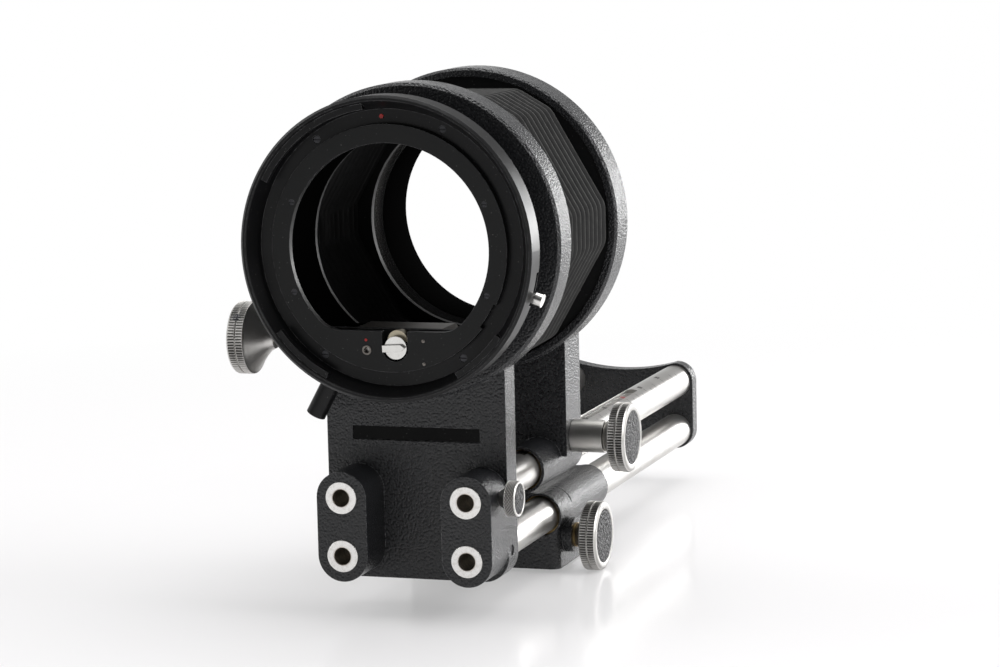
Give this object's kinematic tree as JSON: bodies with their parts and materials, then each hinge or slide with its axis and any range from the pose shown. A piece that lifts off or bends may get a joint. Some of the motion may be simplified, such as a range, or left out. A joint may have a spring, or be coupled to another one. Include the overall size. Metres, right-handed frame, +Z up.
{
  "type": "macro bellows unit",
  "caption": "Camera bellows unit for close-up work: lens standard, pleated bellows, geared rear standard and geared tripod block on chrome rails, with knurled knobs.",
  "frame": {"origin": "centre of the tripod socket, on the underside of the tripod block, with both slides at rest", "axes": "+X to the right as seen from the lens side, +Y from the lens towards the camera along the rails, +Z up"},
  "size_m": [0.0953, 0.2309, 0.1492],
  "materials": {
    "crinkle_enamel": "black crinkle enamel on cast alloy, semi-gloss",
    "satin_black": "smooth black, satin",
    "bright_chrome": "polished chrome",
    "satin_alloy": "satin nickel-silver, knurled rims",
    "steel": "ground steel",
    "dark_steel": "browned steel",
    "brass": "turned brass",
    "bellows_cloth": "pleated black bellows cloth",
    "leather_inlay": "pebbled black leatherette",
    "red_paint": "red enamel fill"
  },
  "bodies": {
    "front": {"front_standard": "crinkle_enamel", "lens_mount_ring": "satin_black", "throat_plate": "satin_black", "mount_screws": "satin_black", "index_dot": "red_paint", "drive_plate": "satin_black", "coupling_bush": "brass", "coupling_stop": "brass", "cocking_shaft_bush": "brass", "gearbox_cover": "dark_steel", "cable_socket": "satin_black", "release_pin_bush": "dark_steel", "nameplate": "satin_black", "rail_upper_right": "bright_chrome", "rail_upper_left": "bright_chrome", "rail_lower_right": "bright_chrome", "rail_lower_left": "bright_chrome", "upper_racks": "steel", "lower_racks": "steel", "rod_sockets": "satin_alloy", "grub_screws": "dark_steel", "front_bellows_frame": "satin_black", "bellows": "bellows_cloth", "end_bracket": "crinkle_enamel", "bracket_screws": "steel"},
    "lens_lock": {"lens_lock_lever": "bright_chrome"},
    "lens_drive": {"drive_coupling": "bright_chrome", "coupling_gear": "steel"},
    "cocking": {"cocking_knob": "satin_alloy", "cocking_shaft": "steel", "cocking_gear": "steel"},
    "plunger": {"release_plunger": "steel"},
    "pin": {"release_pin": "steel"},
    "clamp": {"clamp_screw": "satin_alloy", "clamp_screw_inlay": "leather_inlay"},
    "rear": {"rear_standard": "crinkle_enamel", "rear_bellows_frame": "satin_black", "rear_mount": "bright_chrome", "rear_mount_screws": "steel", "rear_sleeve_bushes": "brass", "focus_shaft_sleeves": "bright_chrome"},
    "focus_drive": {"focus_shaft": "steel", "focus_pinions": "steel", "focus_knob_right": "satin_alloy", "focus_knob_left": "satin_alloy", "focus_knob_inlays": "leather_inlay"},
    "tripod": {"tripod_block": "crinkle_enamel", "tripod_socket": "steel", "tripod_sleeve_bushes": "brass", "tripod_washer": "brass"},
    "tripod_drive": {"tripod_shaft": "steel", "tripod_pinions": "steel", "tripod_knob": "satin_alloy", "tripod_knob_inlay": "leather_inlay"}
  },
  "joints": [
    {"name": "focus_slide", "type": "slide", "parent": "front", "child": "rear", "axis": [0, 1, 0], "range_m": [-0.022, 0.086], "deforming": ["bellows"]},
    {"name": "focus_turn", "type": "hinge", "parent": "rear", "child": "focus_drive", "pos_m": [0, -0.0159, 0.0391], "axis": [1, 0, 0], "range_deg": [-2055, 527]},
    {"name": "tripod_slide", "type": "slide", "parent": "front", "child": "tripod", "axis": [0, 1, 0], "range_m": [-0.034, 0.094]},
    {"name": "tripod_turn", "type": "hinge", "parent": "tripod", "child": "tripod_drive", "pos_m": [0, -0.0145, 0.00905], "axis": [1, 0, 0], "range_deg": [-813, 2246]},
    {"name": "cocking_turn", "type": "hinge", "parent": "front", "child": "cocking", "pos_m": [0, -0.083, 0.0762], "axis": [1, 0, 0], "range_deg": [0, 300]},
    {"name": "coupling_turn", "type": "hinge", "parent": "front", "child": "lens_drive", "pos_m": [0.0012, -0.083, 0.0762], "axis": [0, 1, 0], "range_deg": [-300, 0]},
    {"name": "lens_lock_turn", "type": "hinge", "parent": "front", "child": "lens_lock", "pos_m": [0, -0.0937, 0.1035], "axis": [0, 1, 0], "range_deg": [-6, 0], "stiffness_Nm_per_rad": 0.2},
    {"name": "release_push", "type": "slide", "parent": "front", "child": "plunger", "axis": [0.4848, 0, 0.8746], "range_m": [0, 0.003], "stiffness_N_per_m": 60},
    {"name": "release_pin_push", "type": "slide", "parent": "front", "child": "pin", "axis": [0, -1, 0], "range_m": [0, 0.0015]},
    {"name": "clamp_turn", "type": "hinge", "parent": "front", "child": "clamp", "pos_m": [0.0263, -0.0815, 0.0327], "axis": [1, 0, 0], "range_deg": [0, 360]}
  ],
  "couplings": [
    {"joint": "focus_turn", "follows": "focus_slide", "rad_per_m": -416.67},
    {"joint": "tripod_turn", "follows": "tripod_slide", "rad_per_m": 416.67},
    {"joint": "coupling_turn", "follows": "cocking_turn", "ratio": -1},
    {"joint": "release_pin_push", "follows": "release_push", "ratio": 0.5}
  ]
}
